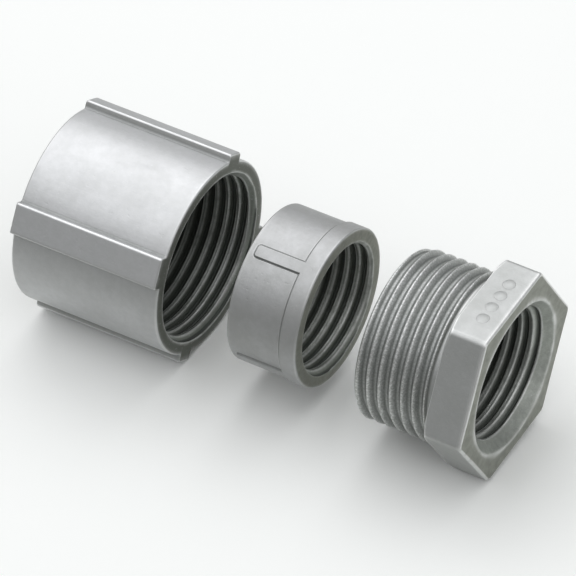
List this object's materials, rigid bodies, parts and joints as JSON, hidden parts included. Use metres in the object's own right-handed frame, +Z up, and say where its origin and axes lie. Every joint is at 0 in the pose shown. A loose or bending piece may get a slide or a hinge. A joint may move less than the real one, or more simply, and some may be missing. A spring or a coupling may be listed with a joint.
{
  "type": "conduit union fitting",
  "caption": "Three-piece threaded conduit union: round ribbed sleeve with an inward lip, internally threaded ring, and a hex gland with male and female threads.",
  "frame": {"origin": "middle of the row along the axis and across it, at the height of the sleeve's lowest line, so the conduit axis is 14.8 mm above it", "axes": "+X along the common axis from the sleeve to the hex head, +Z up, +Y to the side"},
  "size_m": [0.0738, 0.0316, 0.0296],
  "materials": {
    "cast_zinc_sleeve": "satin die-cast zinc, barrel-finished",
    "cast_zinc_ring": "satin die-cast zinc with fine turning marks",
    "cast_zinc_gland": "satin die-cast zinc, grainy on the thread flanks"
  },
  "bodies": {
    "ring": {"threaded_ring": "cast_zinc_ring"},
    "sleeve": {"coupling_sleeve": "cast_zinc_sleeve"},
    "gland": {"hex_gland": "cast_zinc_gland"}
  },
  "joints": [
    {"name": "sleeve_slide", "type": "slide", "parent": "ring", "child": "sleeve", "axis": [1, 0, 0], "range_m": [0, 0.03145]},
    {"name": "gland_slide", "type": "slide", "parent": "ring", "child": "gland", "axis": [-1, 0, 0], "range_m": [0, 0.00975]}
  ]
}
